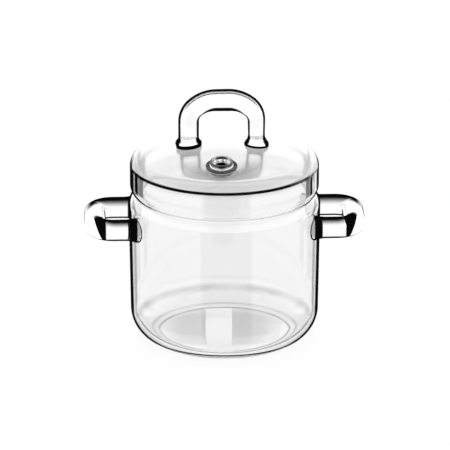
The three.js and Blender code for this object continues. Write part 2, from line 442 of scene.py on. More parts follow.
class Graph:
    """Builds a node tree with short calls, and measures the surface for it."""

    # Keeps a division finite where the eye looks along a form
    least_beside: float = 0.0025

    def __init__(self, tree: bpy.types.NodeTree) -> None:
        """Starts from an empty tree."""
        self.tree = tree
        tree.nodes.clear()

    @classmethod
    def material(cls, name: str) -> tuple[bpy.types.Material, "Graph"]:
        """Makes a material.

        Args:
            name: Its name.

        Returns:
            The material and its empty graph.
        """
        made = bpy.data.materials.new(name)
        made.use_nodes = True
        return made, cls(made.node_tree)

    def node(self, kind: str, values: dict | None = None, **settings: object) -> bpy.types.Node:
        """Adds a node.

        Args:
            kind: Node type.
            values: Input name or index, with a constant or another node's output.
            settings: Properties of the node.

        Returns:
            The node.
        """
        made = self.tree.nodes.new(kind)
        for key, value in settings.items():
            setattr(made, key, value)
        for key, value in (values or {}).items():
            if isinstance(value, Value):
                self.tree.links.new(value.socket, made.inputs[key])
            else:
                made.inputs[key].default_value = value
        return made

    def value(self, kind: str, output: str | int, values: dict | None = None, **settings: object) -> Value:
        """One output of a new node."""
        return Value(self, self.node(kind, values, **settings).outputs[output])

    def maths(self, operation: str, *values: Value | float) -> Value:
        """The output of a Math node."""
        return self.value("ShaderNodeMath", 0, dict(enumerate(values)), operation=operation)

    def vector(self, operation: str, *values: Value | Vector | Triple) -> Value:
        """The vector of a Vector Math node."""
        return self.value("ShaderNodeVectorMath", 0, dict(enumerate(values)), operation=operation)

    def joined(self, *parts: Value | float) -> Value:
        """A vector of three parts."""
        return self.value("ShaderNodeCombineXYZ", 0, dict(enumerate(parts)))

    def split(self, vector: Value) -> list[Value]:
        """The three parts of a vector."""
        return [Value(self, part) for part in self.node("ShaderNodeSeparateXYZ", {0: vector}).outputs]

    def hypot(self, first: Value, second: Value) -> Value:
        """The length of the diagonal of two lengths."""
        return (first ** 2.0 + second ** 2.0).root()

    def noise(self, vector: Value, scale: float, detail: float) -> Value:
        """Soft noise, 0 to 1."""
        return self.value("ShaderNodeTexNoise", "Fac", {"Vector": vector, "Scale": scale, "Detail": detail})

    def mix(self, share: Value, first: Value | float, second: Value | float) -> Value:
        """A number between two numbers, by the share of the second."""
        values = {"Factor": share, "A": first, "B": second}
        return self.value("ShaderNodeMix", 0, values, data_type="FLOAT")

    def blend(self, share: Value, first: Value | Quad, second: Value | Quad) -> Value:
        """A colour between two colours, by the share of the second."""
        values = {"Factor": share, "A": first, "B": second}
        return self.value("ShaderNodeMix", "Result", values, data_type="RGBA")

    def grey(self, level: Value) -> Value:
        """The grey of a level."""
        return self.value("ShaderNodeCombineColor", 0, {0: level, 1: level, 2: level})

    def bump(self, strength: float, depth: float, height: Value) -> Value:
        """A normal that follows a relief, its depth in millimetres."""
        values = {"Strength": strength, "Distance": depth * MM, "Height": height}
        return self.value("ShaderNodeBump", "Normal", values)

    def place(self) -> Value:
        """The point on the piece, in metres."""
        return self.value("ShaderNodeTexCoord", "Object")

    def spot(self) -> list[Value]:
        """The point's X, Y and Z, in metres."""
        return self.split(self.place())

    def normal(self) -> Value:
        """The direction that the surface faces."""
        return self.value("ShaderNodeNewGeometry", "Normal")

    def inside(self) -> Value:
        """1 for light that meets the surface from within the piece, 0 for other light."""
        return self.value("ShaderNodeNewGeometry", "Backfacing")

    def ray(self, output: str) -> Value:
        """What is known of the light's path."""
        return self.value("ShaderNodeLightPath", output)

    def facing(self) -> Value:
        """How far the surface turns away from the eye, 0 to 1."""
        return self.value("ShaderNodeLayerWeight", "Facing", {"Blend": 0.5})

    def upward(self) -> Value:
        """The height of the surface's normal, -1 to 1."""
        return self.split(self.normal())[2]

    def outward(self) -> Value:
        """How far the surface's normal points away from the pot's axis.

        Returns:
            The share of its length, -1 to 1.
        """
        level = self.vector("MULTIPLY", self.place(), (1.0, 1.0, 0.0))
        pair = {0: self.normal(), 1: self.vector("NORMALIZE", level)}
        return self.value("ShaderNodeVectorMath", "Value", pair, operation="DOT_PRODUCT")

    def off_middle(self, run: Value) -> Value:
        """How far from the middle of a long form the eye's line meets it, however steep the view.

        Args:
            run: Direction that the form runs in.

        Returns:
            The offset as a share of half the form's width, 0 to 1.
        """
        ahead = 1.0 - self.value("ShaderNodeLayerWeight", "Facing", {"Blend": 0.5, "Normal": run})
        beside = (1.0 - ahead ** 2.0) | self.least_beside
        toward = 1.0 - self.facing()
        return ((1.0 - toward ** 2.0 / beside) | 0.0).root()

    def off_axis(self) -> Value:
        """How far to the side of the pot's axis the eye's line meets the wall, 0 to 1."""
        return self.off_middle(self.joined(0.0, 0.0, 1.0))

    def mirrored(self, layers: float = 99.0) -> Value:
        """Tells light that has been reflected from light seen straight or through glass.

        Args:
            layers: Most faces of glass that the light may have passed through, by default any number.

        Returns:
            1 for reflected light, 0 for other light.
        """
        sent_back = self.maths("MINIMUM", self.ray("Glossy Depth"), 1.0)
        return sent_back * self.maths("LESS_THAN", self.ray("Transmission Depth"), layers)


# Finishes

@dataclass(frozen=True)
class GlassFinish:
    """Clear fire-polished borosilicate glass.

    Its silhouette is painted dark: painted shade for the dark that thick glass shows where light runs along
    the wall instead of through it.
    Lengths are in millimetres. A pair is the start and the end of a change, by place or by value, and a
    third number is the value that goes with it.
    """

    name: str
    ior: float = 1.47
    tint: Quad = (0.5, 0.5, 0.5, 1)
    density: float = 12.0
    ripple: float = 0.02
    ripple_scale: float = 22.0
    ripple_depth: float = 0.4
    wipe: Point = (0.45, 0.8)
    wipe_scale: float = 60.0
    wipe_rough: float = 0.015
    # Colour of the painted dark lines
    painted_black: Quad = (0.003, 0.003, 0.003, 1)
    hidden_after: Point = (2.0, 3.5)
    behind_glass: float = 0.35

    def darkness(self, graph: Graph) -> Value:
        """The share of painted dark at each point, 0 to 1, which each kind of glass says."""
        raise NotImplementedError

    def polished(self, graph: Graph) -> dict:
        """The shader's colour and coat: clear all over."""
        return {"Base Color": WHITE}

    def polish(self, graph: Graph) -> Value:
        """The roughness: next to none, with faint wipe marks."""
        marks = graph.noise(graph.place(), self.wipe_scale, detail=4.0)
        return marks.ramp(*self.wipe, 0.0, self.wipe_rough)

    def plain_view(self, graph: Graph) -> Value:
        """1 where little is in front of the surface, and less where other glass is."""
        return graph.ray("Transmission Depth").ramp(*self.hidden_after, 1.0, self.behind_glass)

    def build(self) -> bpy.types.Material:
        """Makes the material.

        Returns:
            Clear glass with its painted dark lines.
        """
        material, graph = Graph.material(self.name)
        drawn = graph.noise(graph.place(), self.ripple_scale, detail=2.0)
        clear = graph.value(
            "ShaderNodeBsdfPrincipled", 0,
            {
                "Roughness": self.polish(graph),
                "IOR": self.ior,
                "Transmission Weight": 1.0,
                "Normal": graph.bump(self.ripple, self.ripple_depth, drawn),
                **self.polished(graph),
            },
        )
        # Painted shade: a near-black matt surface mixed in where the darkness mask says
        dark = graph.value("ShaderNodeBsdfDiffuse", 0, {"Color": self.painted_black})
        mask = self.darkness(graph) * (1.0 - graph.inside())
        glass = graph.value("ShaderNodeMixShader", 0, {0: mask, 1: clear, 2: dark})
        depth = graph.value("ShaderNodeVolumeAbsorption", 0, {"Color": self.tint, "Density": self.density})
        graph.node("ShaderNodeOutputMaterial", {"Surface": glass, "Volume": depth})
        return material


@dataclass(frozen=True)
class WallGlass(GlassFinish):
    """Glass of the pot's wall, a little greyer below the neck.

    A ring is a painted dark line round the lower bend: height of the normal, half widths of its core and of
    all of it, and its share of dark.
    """

    edge: Point = (0.9596, 0.9736)
    base_fade: Point = (-0.8, -0.66)
    neck_foot: Point = (121.0, 124.0)
    neck_edge: float = 0.025
    rim: Point = (139.2, 139.6)
    rim_side: Point = (0.35, 0.6)
    rim_bare: Point = (0.5, 1.5)
    body: float = 0.966
    body_top: Point = (112.0, 122.0)
    rings: tuple[Quad, ...] = (
        (-0.72, 0.02, 0.055, 1.0),
        (0.46, 0.0, 0.2, 0.28),
        (0.915, 0.008, 0.034, 0.24),
        (0.988, 0.003, 0.01, 0.38),
    )
    ring_top: Point = (38.0, 42.0)
    drift: Point = (0.35, 0.65)
    drift_share: Point = (0.55, 1.15)
    drift_scale: float = 28.0

    def darkness(self, graph: Graph) -> Value:
        """Painted dark along the silhouette, round the lower bend and round the bare rim.

        Args:
            graph: Where the nodes go.

        Returns:
            The share of dark.
        """
        up = graph.upward()
        height = graph.spot()[2]
        wider = height.over(*self.neck_foot, 0.0, self.neck_edge)
        edge = (graph.off_axis() + wider).ramp(*self.edge)
        mask = edge * up.ramp(*self.base_fade) * self.plain_view(graph)
        low = height.over(*self.ring_top, 1.0, 0.0)
        drift = graph.noise(graph.place(), self.drift_scale, detail=1.0)
        uneven = drift.ramp(*self.drift, *self.drift_share)
        # Painted shade: dark rings round the lower bend, unevenly strong
        for middle, core, half, share in self.rings:
            ring = abs(up - middle).ramp(core, half, share, 0.0) * low
            mask = mask | (ring * uneven if share < 1 else ring)
        # Painted shade on the rim where it is seen with little glass in front
        bare = graph.ray("Transmission Depth").ramp(*self.rim_bare, 1.0, 0.0)
        return mask | height.over(*self.rim) * graph.outward().ramp(*self.rim_side) * bare

    def polished(self, graph: Graph) -> dict:
        """The shader's colour: a pale grey up to the neck."""
        return {"Base Color": graph.grey(graph.spot()[2].over(*self.body_top, self.body, 1.0))}


@dataclass(frozen=True)
class LidGlass(GlassFinish):
    """Glass with a softly polished crown, so that what is over and under it blurs, and painted shade and
    light in the dome's colour.

    The crease and the inner line are painted dark lines, given by their middle and by half widths of the core
    and of all of it.
    """

    ior: float = 1.38
    density: float = 2.0
    edge: Point = (0.948, 0.967)
    edge_top: Point = (0.3, 0.85)
    far_reach: float = 65.0
    far_thinner: float = 0.0165
    # Painted dark lines: the shoulder's line and the skirt's inner line
    crease: Triple = (0.135, 0.075, 0.14)
    crease_side: Triple = (45.0, 72.0, 0.6)
    inner_line: Triple = (0.933, 0.012, 0.021)
    inner_span: Point = (-60.0, 60.0)
    inner_shift: float = 0.012
    inner_thinning: float = 0.006
    inner_height: Point = (125.5, 128.5)
    upright: Point = (0.05, 0.3)
    skyline: Triple = (0.93, 0.985, 0.85)
    dome: Point = (0.14, 0.24)
    steep: Point = (0.35, 0.55)
    shade: Point = (0.6, 0.26)
    bend: Point = (0.5, 0.96)
    bend_shade: float = 0.36
    level: float = 0.75
    # Painted light: how much paler the back of the dome is made, and over what span of Y
    back_light: float = 0.6
    back_light_span: Point = (-42.0, -12.0)
    coat_ior: float = 3.4
    coat_soft: float = 0.15
    soft_within: float = 0.17

    def darkness(self, graph: Graph) -> Value:
        """Painted dark along the skirt's silhouette, the neck within it, the shoulder's crease and where the
        surface turns almost fully from the eye, clear on the rest of the dome.

        Args:
            graph: Where the nodes go.

        Returns:
            The share of dark.
        """
        x, _, z = graph.spot()
        up = graph.upward()
        beside = graph.off_axis()
        edge = (beside - x.over(0.0, self.far_reach, 0.0, self.far_thinner)).ramp(*self.edge)
        sides = edge * up.ramp(*self.edge_top, 1.0, 0.0)
        middle, *widths = self.crease
        start, end, share = self.crease_side
        crease = abs(up - middle).ramp(*widths, 1.0, 0.0) * x.over(start, end, 1.0, share)
        middle, *widths = self.inner_line
        within = abs(beside - middle + x.over(*self.inner_span, 0.0, self.inner_shift))
        thin = within + x.over(*self.inner_span, 0.0, self.inner_thinning)
        skirt = z.over(*self.inner_height) * abs(up).ramp(*self.upright, 1.0, 0.0)
        inner = thin.ramp(*widths, 1.0, 0.0) * skirt
        start, end, share = self.skyline
        # Painted shade: dark lines on the skirt and the shoulder, and a dark rim where the surface turns from
        # the eye
        return sides | inner | crease | graph.facing().ramp(start, end, 0.0, share)

    def polish(self, graph: Graph) -> Value:
        """The roughness: none, but soft on the underside of the dome."""
        return graph.upward().ramp(*self.dome) * graph.inside() * self.soft_within

    def polished(self, graph: Graph) -> dict:
        """The dome's bright outer polish, which mirrors the room softly, over painted shade and light in its
        colour.

        Args:
            graph: Where the nodes go.

        Returns:
            The shader's colour and coat.
        """
        up = graph.upward()
        dome = up.ramp(*self.dome) * (1.0 - graph.inside())
        # Painted shade: the dome's grey darkens as it turns from the eye, with its own grey on the shoulder
        crown = graph.facing().ramp(*self.steep, *self.shade)
        shade = graph.mix(up.ramp(*self.bend), self.bend_shade, crown)
        # Painted light: the back of the dome is made paler, and its coat thinner there
        lit_back = graph.spot()[1].over(*self.back_light_span) * self.back_light
        grey = graph.grey(graph.mix(lit_back, shade, 1.0))
        raised = graph.vector("ADD", graph.normal(), (0.0, 0.0, self.level))
        return {
            "Base Color": graph.blend(dome, WHITE, grey),
            "Coat Normal": graph.vector("NORMALIZE", raised),
            "Coat Weight": dome * (1.0 - lit_back),
            "Coat IOR": self.coat_ior,
            "Coat Roughness": self.coat_soft,
        }


@dataclass(frozen=True)
class RodGlass(GlassFinish):
    """Glass of a bent rod, which turns what is behind it upside down.

    The offset within its round section leaves out how steeply the rod runs, so that it looks alike round
    its bends.
    """

    density: float = 1.0
    hidden_after: Point = (0.0, 1.0)
    axis: Axis = Axis.Z
    middle: float = 0.0
    rise: float = 0.0
    half: Point = (0.0, 0.0)
    bend: Point = (1.0, 1.0)
    edge: Point = (0.70, 0.80)
    under: Point = (0.0, 0.0)
    under_reach: float = 17.0
    under_side: Point = (-0.5, -0.2)

    def past(self, graph: Graph) -> list[Value]:
        """How far a point lies beyond the straight stretches.

        Args:
            graph: Where the nodes go.

        Returns:
            The distances along and across, with their signs, in metres.
        """
        level = self.axis is Axis.Z
        x, y, z = graph.spot()
        first = x - self.middle * MM
        second = (y if level else z) - self.rise * MM
        sides = []
        for value, half, both_ways in zip((first, second), self.half, (True, level)):
            size = abs(value) if both_ways else value
            sides.append(((size - half * MM) | 0.0) * graph.maths("SIGN", value))
        return sides

    def offset(self, graph: Graph) -> Value:
        """How far from the middle of the rod's section the eye's line meets it.

        Args:
            graph: Where the nodes go.

        Returns:
            The offset, 0 to 1.
        """
        first, second = self.past(graph)
        across = second / -((self.bend[1] * MM) ** 2)
        onward = first / (self.bend[0] * MM) ** 2
        run = (across, onward, 0.0) if self.axis is Axis.Z else (across, 0.0, onward)
        return graph.off_middle(graph.vector("NORMALIZE", graph.joined(*run)))

    def outline(self, graph: Graph, offset: Value) -> Value:
        """The offset that the silhouette goes by, which changes under the rod along its bends.

        Args:
            graph: Where the nodes go.
            offset: Offset within the rod's section.

        Returns:
            The changed offset.
        """
        below = graph.upward().ramp(*self.under_side, 1.0, 0.0)
        bent = abs(self.past(graph)[0]).over(0.0, self.under_reach, *self.under, smooth=False)
        return offset + below * bent


@dataclass(frozen=True)
class LoopGlass(RodGlass):
    """Glass of the side loops: a painted dark band along the top, painted dark crescents in the bends and
    painted dark fused ends.
    """

    ior: float = 1.15
    edge: Point = (0.88, 0.95)
    under: Point = (0.06, 0.0)
    top: Point = (0.1, 0.5)
    faint: Triple = (6.0, 14.0, 0.65)
    band: Point = (-0.1, 0.72)
    band_start: Point = (0.0, 5.0)
    outer_band: Point = (0.12, 0.75)
    outer_width: float = 4.0
    taper_length: float = 22.0
    taper: float = 0.42
    far_slant: float = 1.27
    far_band: Point = (24.5, 31.5)
    far_facing: Point = (0.5, 0.68)
    far_end: Point = (16.5, 22.2)
    crescent_start: Point = (5.6, 6.4)
    crescent_end: Point = (11.5, 12.5)
    crescent_lean: float = 3.5
    crescent_peak: float = 8.0
    crescent_pull: float = 0.5
    crescent_outer: Point = (10.5, 11.5)
    crescent_side: Point = (5.0, 7.0)
    joint_start: Triple = (68.9, 69.4, 0.6)
    joint_end: Point = (75.0, 75.8)
    seam: Point = (75.7, 76.3)

    def beyond(self, graph: Graph) -> list[Value]:
        """How far a point lies along and across beyond the straight stretches, and in all."""
        first, second = (abs(side) for side in self.past(graph))
        return [first, second, graph.hypot(first, second)]

    def top_band(self, graph: Graph, offset: Value) -> Value:
        """The painted dark band along the loop's top and over its far bend.

        Args:
            graph: Where the nodes go.
            offset: Offset within the rod's section.

        Returns:
            The share of dark.
        """
        first, second, reach = self.beyond(graph)
        top = graph.upward().ramp(*self.top)
        outer = reach.over(self.bend[0], self.bend[0] + self.outer_width)
        tapered = offset - first.over(0.0, self.taper_length, 0.0, self.taper, smooth=False)
        band = graph.mix(outer, offset.ramp(*self.band), tapered.ramp(*self.outer_band))
        slanted = graph.spot()[1] + first * self.far_slant
        far = slanted.over(*self.far_band) * first.over(*self.far_end, 1.0, 0.0)
        far = far * graph.facing().ramp(*self.far_facing)
        return (band * second.over(*self.band_start) | far) * top

    def crescent(self, graph: Graph) -> Value:
        """The painted dark crescent across each bend.

        Args:
            graph: Where the nodes go.

        Returns:
            The share of dark.
        """
        first, second, reach = self.beyond(graph)
        slant = first - graph.upward() * (self.crescent_lean * MM)
        length = first.over(*self.crescent_start) * slant.over(*self.crescent_end, 1.0, 0.0)
        drawn_in = abs(first - self.crescent_peak * MM) * self.crescent_pull
        return length * (reach - drawn_in).over(*self.crescent_outer) * second.over(*self.crescent_side)

    def fused_end_shade(self, graph: Graph) -> Value:
        """The painted shade at the end of each leg, where it is fused to the wall.

        Args:
            graph: Where the nodes go.

        Returns:
            The share of dark.
        """
        x, y, _ = graph.spot()
        start, end, share = self.joint_start
        joint = abs(x).over(start, end, share, 1.0) * abs(x).over(*self.joint_end, 1.0, 0.0)
        return joint | graph.hypot(x, y).over(*self.seam, 1.0, 0.0)

    def darkness(self, graph: Graph) -> Value:
        """Painted dark silhouette, fainter under the bends, with the painted band, crescents and fused ends.

        Args:
            graph: Where the nodes go.

        Returns:
            The share of dark.
        """
        offset = self.offset(graph)
        start, end, share = self.faint
        faint = abs(self.past(graph)[0]).over(start, end, 1.0, share) | graph.upward().ramp(*self.top)
        edge = self.outline(graph, offset).ramp(*self.edge) * faint
        # Painted shade: outline, top band, crescents and fused ends
        mask = edge | self.top_band(graph, offset) | self.crescent(graph) | self.fused_end_shade(graph)
        return mask * self.plain_view(graph)


@dataclass(frozen=True)
class ArchGlass(RodGlass):
    """Glass of the lid's arch: a painted thin dark line and painted shade along the top, painted dark soles
    and a painted dark mirror image.

    The line is given by its offset, half widths of its core and of all of it, and its share of dark.
    """

    axis: Axis = Axis.Y
    under: Point = (0.08, -0.17)
    under_reach: float = 11.0
    under_side: Point = (-0.85, 0.25)
    line: Quad = (0.6, 0.03, 0.08, 0.75)
    line_side: Point = (0.3, 0.6)
    top_shade: float = 0.16
    top_shade_start: float = 0.02
    top_shade_side: Point = (0.6, 0.8)
    dome_top: float = 0.0
    dome_radius: float = 1.0
    flare: Triple = (6.0, 9.0, 0.13)
    sole: Point = (0.8, 1.3)
    sole_side: Point = (-20.0, 20.0)
    sole_lift: Point = (2.4, 0.9)
    image: float = 0.95
    image_height: Point = (164.0, 190.0)
    image_layers: float = 0.5

    def soles(self, graph: Graph, outline: Value) -> Value:
        """The painted dark soles and the wider painted silhouette of the feet above them.

        Args:
            graph: Where the nodes go.
            outline: Offset that the silhouette goes by.

        Returns:
            The share of dark.
        """
        x, y, z = graph.spot()
        drop = (x ** 2.0 + y ** 2.0) / (2 * self.dome_radius * MM)
        above = z + drop - self.dome_top * MM
        low, high, wider = self.flare
        flare = outline + above.over(low, high, wider, 0.0)
        left, right = self.sole_lift
        lift = x.over(*self.sole_side, left * MM, right * MM)
        return flare.ramp(*self.edge) | (above - lift).over(*self.sole, 1.0, 0.0)

    def darkness(self, graph: Graph) -> Value:
        """Painted dark silhouette with the line, the shade along the top and the soles, and the arch painted
        dark wherever the dome mirrors it.

        Args:
            graph: Where the nodes go.

        Returns:
            The share of dark.
        """
        offset = self.offset(graph)
        outline = self.outline(graph, offset)
        up = graph.upward()
        middle, core, half, share = self.line
        line = abs(offset - middle).ramp(core, half, share, 0.0) * up.ramp(*self.line_side)
        # Painted shade along the top of the arch
        top_shade = offset.ramp(middle, middle + self.top_shade_start, 0.0, self.top_shade) * up.ramp(*self.top_shade_side)
        mask = outline.ramp(*self.edge) | line | top_shade | self.soles(graph, outline)
        # Painted reflection: the arch turns dark in light that the dome has reflected
        image = graph.spot()[2].over(*self.image_height, 0.0, self.image)
        return mask * self.plain_view(graph) | graph.mirrored(self.image_layers) * image


@dataclass(frozen=True)
class SteelFinish:
    """Turned and polished stainless steel, with fine rings about the vent's axis, painted dark reflections on
    its turned edges, painted shade in its bore and painted streaks of reflection.

    Radii and heights are in millimetres on the vent's own axis.
    """

    name: str
    place: Vector
    turn: Triple
    color: Quad = (0.78, 0.78, 0.785, 1)
    # Colour of the painted reflection streaks
    reflection_streak_color: Quad = (0.3, 0.3, 0.305, 1)
    smear_and_reflection: Point = (0.4, 0.62)
    smear_turns: float = 9.0
    smear_rise: float = 60.0
    smear_rough: Triple = (0.4, 0.65, 0.12)
    reflection_streak_edge: Triple = (7.6, 8.6, 0.35)
    lathe_scale: float = 5200.0
    lathe_wander: float = 0.8
    lathe_rough: Quad = (0.3, 0.7, 0.10, 0.2)
    lathe_bump: Point = (0.12, 0.02)
    # Colour of the painted dark edges and bore
    dark: Quad = (0.012, 0.012, 0.012, 1)
    bore: Point = (4.1, 4.6)
    rim: Triple = (11.1, 11.7, 0.92)
    wall_inside: Point = (7.8, 8.3)
    wall_outside: Triple = (9.2, 9.6, 0.9)
    wall_height: Point = (4.3, 5.0)
    flange: Triple = (9.2, 9.8, 0.72)
    flange_height: Point = (0.0, 2.0)

    def on_axis(self, graph: Graph) -> Value:
        """The point as the vent's own axis has it."""
        moved = graph.vector("SUBTRACT", graph.place(), self.place)
        return graph.value("ShaderNodeVectorRotate", 0, {"Vector": moved, "Rotation": self.turn},
                           rotation_type="EULER_XYZ", invert=True)

    def dark_edges(self, across: Value, height: Value) -> Value:
        """Where dark is painted: painted reflection on the turned edges and painted shade in the bore.

        Args:
            across: Distance from the vent's axis.
            height: Height along it.

        Returns:
            The share of dark.
        """
        start, end, share = self.rim
        rim = across.over(start, end, 0.0, share)
        start, end, share = self.flange
        flange = across.over(start, end, 0.0, share) * height.over(*self.flange_height)
        start, end, share = self.wall_outside
        wall = across.over(*self.wall_inside) * across.over(start, end, share, 0.0)
        wall = wall * height.over(*self.wall_height)
        return across.over(*self.bore, 1.0, 0.0) | flange | rim | wall

    def build(self) -> bpy.types.Material:
        """Makes the material.

        Returns:
            The steel.
        """
        material, graph = Graph.material(self.name)
        x, y, height = graph.split(self.on_axis(graph))
        across = graph.hypot(x, y)
        around = graph.maths("ARCTAN2", y, x)
        rings = graph.joined(across * self.lathe_scale, around * self.lathe_wander, height * self.lathe_scale)
        lathe = graph.noise(rings, 1.0, detail=3.0)
        streaks = graph.joined(around * self.smear_turns, 0.0, height * self.smear_rise)
        smear_and_reflection = graph.noise(streaks, 1.0, detail=2.0)
        start, end, rough = self.smear_rough
        inner, outer, share = self.reflection_streak_edge
        # Painted reflection: darker streaks about the axis in the steel's colour, weaker away from the cup
        reflection_streaks = smear_and_reflection.ramp(*self.smear_and_reflection) * across.over(inner, outer, 1.0, share)
        bright = graph.blend(reflection_streaks, self.color, self.reflection_streak_color)
        shader = graph.value(
            "ShaderNodeBsdfPrincipled", 0,
            {
                # Painted reflection and shade: darkened edges and bore in the steel's colour
                "Base Color": graph.blend(self.dark_edges(across, height), bright, self.dark),
                "Metallic": 1.0,
                "Roughness": lathe.ramp(*self.lathe_rough) + smear_and_reflection.ramp(start, end, 0.0, rough),
                "Normal": graph.bump(*self.lathe_bump, lathe),
            },
        )
        graph.node("ShaderNodeOutputMaterial", {"Surface": shader})
        return material


@dataclass(frozen=True)
class SiliconeFinish:
    """Soft translucent silicone with a faint bloom."""

    name: str
    color: Triple = (0.8, 0.81, 0.8)
    paler: float = 1.12
    cloud_scale: float = 220.0
    bloom_scale: float = 900.0
    bloom_rough: Quad = (0.3, 0.7, 0.42, 0.6)
    bloom_bump: Point = (0.15, 0.05)
    ior: float = 1.41
    scatter: float = 0.4
    scatter_depth: float = 1.0

    def build(self) -> bpy.types.Material:
        """Makes the material.

        Returns:
            The silicone.
        """
        material, graph = Graph.material(self.name)
        bloom = graph.noise(graph.place(), self.bloom_scale, detail=3.0)
        cloud = graph.noise(graph.place(), self.cloud_scale, detail=2.0)
        pale = tuple(min(1.0, c * self.paler) for c in self.color)
        shader = graph.value(
            "ShaderNodeBsdfPrincipled", 0,
            {
                "Base Color": graph.blend(cloud, (*self.color, 1), (*pale, 1)),
                "Roughness": bloom.ramp(*self.bloom_rough),
                "IOR": self.ior,
                "Subsurface Weight": self.scatter,
                "Subsurface Radius": (1.0, 1.0, 1.0),
                "Subsurface Scale": self.scatter_depth * MM,
                "Normal": graph.bump(*self.bloom_bump, bloom),
            },
        )
        graph.node("ShaderNodeOutputMaterial", {"Surface": shader})
        return material


# Sub-assemblies

def hand_over(
    piece: bpy.types.Object, material: bpy.types.Material, body: Body, slot: Slot, *nodes: str
) -> None:
    """Gives a piece its finish and its body, and hides the solids that it stands for.

    Args:
        piece: Finished mesh object.
        material: Its finish.
        body: Body that it rides on.
        slot: Material slot of the record; not used.
        nodes: Solids that it replaces.
    """
    piece.data.materials.clear()
    piece.data.materials.append(material)
    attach(piece, body.value)
    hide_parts(*nodes)
    log.info("%s: %d faces, rides on %s", piece.name, len(piece.data.polygons), body.value)


@dataclass
class Pot:
    """The pot's turned wall and its two fused side loops, in millimetres.

    A foot is given by the distance along the leg and the radius of each of its sections.
    """

    body_radius: float = 75.2
    taper: float = 1.5
    height: float = 110.0
    wall: float = 2.8
    floor: float = 3.6
    corner: float = 25.0
    shoulder: float = 11.0
    neck: float = 67.8
    fillet: float = 1.6
    neck_height: float = 18.4
    steps: int = 224
    wall_crease: float = 60.0
    loop_rod: float = 16.8
    loop_span: float = 53.5
    loop_reach: float = 110.0
    loop_height: float = 98.2
    loop_bend: float = 14.0
    bend_steps: int = 22
    loop_sides: int = 56
    loop_crease: float = 40.0
    fuse: float = 0.06
    foot_depth: float = 9.0
    foot: tuple[Point, ...] = (
        (6.0, 9.9), (9.2, 10.0), (10.4, 9.95), (11.4, 9.7), (12.6, 9.3), (14.2, 8.85), (16.0, 8.55),
        (18.0, 8.42),
    )

    @property
    def corner_at(self) -> float:
        """Radius of the circle that the lower bend is struck from."""
        return self.body_radius - self.taper - self.corner

    @property
    def loop_half(self) -> Point:
        """Where the loop's bends start, out from the axis and across from its middle."""
        return (self.loop_reach - self.loop_rod / 2 - self.loop_bend, self.loop_span / 2 - self.loop_bend)

    def face(self, corner: Point, depth: float) -> list[Point]:
        """One face of the wall, from the floor to the neck.

        Args:
            corner: Centre of the lower bend.
            depth: How far the face lies in from the outside.

        Returns:
            The profile points.
        """
        top = (self.body_radius - self.shoulder, self.height)
        across = self.neck + self.fillet
        rise = math.sqrt((self.shoulder + self.fillet) ** 2 - (across - top[0]) ** 2)
        hollow = (across, self.height + rise)
        span = math.dist(corner, top)
        lean = math.degrees(math.atan2(top[1] - corner[1], top[0] - corner[0]))
        lean -= math.degrees(math.acos((self.corner - self.shoulder) / span))
        turn_in = math.degrees(math.atan2(hollow[1] - top[1], hollow[0] - top[0]))
        low = arc(corner, self.corner - depth, -90, lean, steps=28)
        high = arc(top, self.shoulder - depth, lean, turn_in, steps=18)
        bend = arc(hollow, self.fillet + depth, turn_in + 180, 180, steps=8)
        return [*low, *along(low[-1], high[0], steps=6), *high, *bend[1:]]

    def profile(self) -> list[Point]:
        """The whole section of the wall.

        Returns:
            Points from the underside round the rim to the floor.
        """
        outer = self.face((self.corner_at, self.corner), 0)
        inner = self.face((self.corner_at, self.floor + self.corner - self.wall), self.wall)
        rim_height = outer[-1][1] + self.neck_height
        rim = arc((self.neck - self.wall / 2, rim_height), self.wall / 2, 0, 180, steps=16)
        base = [(0.0, 0.0), *along((0, 0), outer[0], steps=5), *outer]
        floor = [*along(inner[0], (0, self.floor), steps=5), (0.0, self.floor)]
        upper = [*along(outer[-1], rim[0], steps=4), *rim, *along(rim[-1], inner[-1], steps=4)]
        return [*base, *upper, *reversed(inner), *floor]

    def envelope(self) -> bpy.types.Object:
        """A closed body a little outside the wall, for trimming the loops' feet."""
        face = self.face((self.corner_at, self.corner), -self.fuse)
        return Workbench.turned("pot_envelope", [(0.0, face[0][1]), *face, (0.0, face[-1][1])], self.steps)

    def loop(self) -> bpy.types.Object:
        """The loop on +X: two flared legs out of the wall and a bar across.

        Returns:
            The loop, trimmed to the wall.
        """
        leg = self.loop_span / 2
        out, half_bar = self.loop_half
        start = math.sqrt((self.body_radius - self.taper) ** 2 - leg ** 2) - self.foot_depth
        length, last = self.foot[-1]
        path = RodPath(Axis.Z, Vector((start, -leg, self.loop_height)), 0.0, self.foot[0][1])
        path.foot(list(self.foot[1:]))
        path.straight(out - path.centre.x, 4, self.loop_rod / 2)
        path.bend(self.loop_bend, 90, self.bend_steps)
        path.straight(2 * half_bar, 5)
        path.bend(self.loop_bend, 90, self.bend_steps)
        path.straight(path.centre.x - start - length, 4, last)
        path.foot([(length - distance, radius) for distance, radius in reversed(self.foot[:-1])])
        rod = Workbench.swept("right_loop", path, self.loop_sides)
        return Workbench.smooth(Workbench.trimmed(rod, self.envelope()), self.loop_crease)

    def build(self) -> None:
        """Models the wall and the loops, and dresses them in glass."""
        shell = Workbench.smooth(Workbench.turned("pot_wall", self.profile(), self.steps), self.wall_crease)
        right = self.loop()
        left = Workbench.laid(Workbench.copied(right, "left_loop"), Vector((0, 0, 0)), (0, 0, math.pi))
        hand_over(shell, WallGlass("wall_glass").build(), Body.POT, Slot.GLASS, "pot_body")
        rods = LoopGlass("loop_glass", half=self.loop_half, bend=(self.loop_bend, self.loop_bend)).build()
        hand_over(right, rods, Body.POT, Slot.GLASS, "right_handle")
        hand_over(left, rods, Body.POT, Slot.GLASS, "left_handle")


